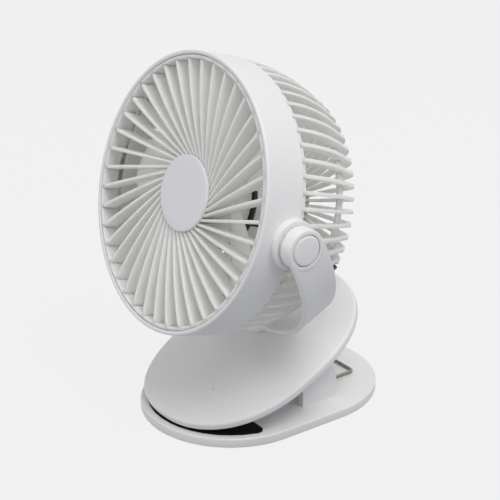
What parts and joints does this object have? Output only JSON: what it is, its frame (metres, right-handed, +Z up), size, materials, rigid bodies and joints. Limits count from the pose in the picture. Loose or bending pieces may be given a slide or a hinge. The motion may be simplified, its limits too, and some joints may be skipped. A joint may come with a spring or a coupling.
{
  "type": "clip fan",
  "caption": "Small caged clip fan: round head with curved front vanes, tilting in a U-shaped yoke that swivels on the upper jaw of a sprung clamp with an oval foot.",
  "frame": {"origin": "centre of the lower jaw's flat underside, on the surface that the fan stands on", "axes": "+Z up, +X to the fan's left-hand side as seen from behind, which is the right of a viewer who faces the grille; the fan blows towards -Y"},
  "size_m": [0.1758, 0.1479, 0.2074],
  "materials": {
    "white_shell": "fine satin injection-moulded white",
    "white_grille": "satin white",
    "white_inside": "satin off-white",
    "pale_plastic": "smooth satin white",
    "black_rubber": "matte black",
    "black_plastic": "satin black",
    "green_board": "solder-mask green",
    "cell_wrap": "thin glossy wrap",
    "lens": "smoked gloss",
    "spring_steel": "drawn wire",
    "bright_steel": "nickel-plated",
    "nylon": "natural nylon"
  },
  "bodies": {
    "lower_clamp": {"lower_jaw": "white_shell", "jaw_grip_pad": "black_rubber", "hinge_pin": "bright_steel", "clamp_spring": "spring_steel"},
    "upper_clamp": {"upper_jaw_cover": "white_shell", "upper_jaw_tray": "white_shell", "battery_cell": "cell_wrap", "control_board": "green_board", "usb_port": "bright_steel", "led_lens": "lens"},
    "button": {"power_button": "pale_plastic"},
    "fork": {"yoke": "white_shell", "swivel_retainer": "nylon", "swivel_screw": "bright_steel", "pivot_cap_left": "white_shell", "pivot_cap_right": "white_shell"},
    "head": {"head_band": "white_shell", "front_grille": "white_grille", "grille_centre_disc": "pale_plastic", "rear_cage": "white_grille", "motor": "black_plastic", "motor_screw_1": "bright_steel", "motor_screw_2": "bright_steel", "motor_screw_3": "bright_steel", "motor_lead": "black_plastic", "pivot_pin_left": "bright_steel", "pivot_pin_right": "bright_steel", "pivot_washer_left": "nylon", "pivot_washer_right": "nylon"},
    "rotor": {"impeller": "white_inside", "impeller_nut": "white_inside", "motor_shaft": "bright_steel"}
  },
  "joints": [
    {"name": "jaw_hinge", "type": "hinge", "parent": "lower_clamp", "child": "upper_clamp", "pos_m": [0, 0.014, 0.0195], "axis": [-1, 0, 0], "range_deg": [0, 30], "stiffness_Nm_per_rad": 0.5, "springref_deg": -85.94, "deforming": ["clamp_spring"]},
    {"name": "button_press", "type": "slide", "parent": "upper_clamp", "child": "button", "axis": [0, -0.9033, -0.4289], "range_m": [0, 0.0006], "stiffness_N_per_m": 500, "springref_m": -0.001},
    {"name": "fork_swivel", "type": "hinge", "parent": "upper_clamp", "child": "fork", "pos_m": [0, 0.0018, 0.04625], "axis": [0, -0.4289, 0.9033], "range_deg": [-180, 180]},
    {"name": "head_tilt", "type": "hinge", "parent": "fork", "child": "head", "pos_m": [0, -0.03659, 0.1271], "axis": [1, 0, 0], "range_deg": [-75, 105]},
    {"name": "rotor_spin", "type": "hinge", "parent": "head", "child": "rotor", "pos_m": [0, -0.055, 0.13575], "axis": [0, -0.9593, 0.2824], "continuous": true}
  ]
}
